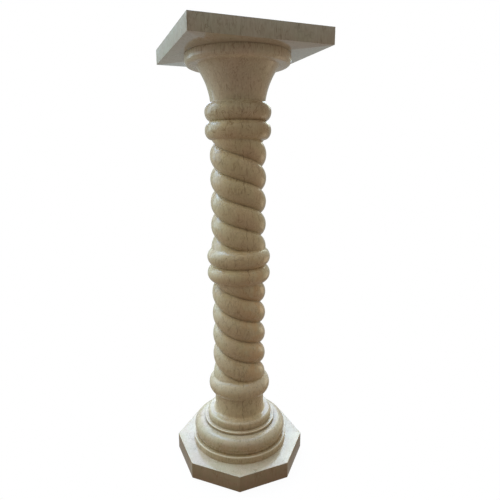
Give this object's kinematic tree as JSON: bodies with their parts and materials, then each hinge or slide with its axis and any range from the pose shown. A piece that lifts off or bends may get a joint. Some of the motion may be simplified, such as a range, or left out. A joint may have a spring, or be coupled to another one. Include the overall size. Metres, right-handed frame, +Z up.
{
  "type": "twisted marble pedestal column",
  "caption": "Free-standing marble pedestal column: octagonal plinth, round moulded base, twisted shaft with ring collars, bell capital and square slab top to carry a plant or bust.",
  "frame": {"origin": "middle of the plinth's underside, on the column's axis", "axes": "+Z up the column; the square slab's sides face along X and Y"},
  "size_m": [0.3012, 0.3012, 1],
  "materials": {
    "cream_marble": "polished cream marble with fine upright brown hairline veins"
  },
  "bodies": {
    "root": {"plinth": "cream_marble", "base": "cream_marble", "shaft": "cream_marble", "top_slab": "cream_marble"}
  },
  "joints": []
}
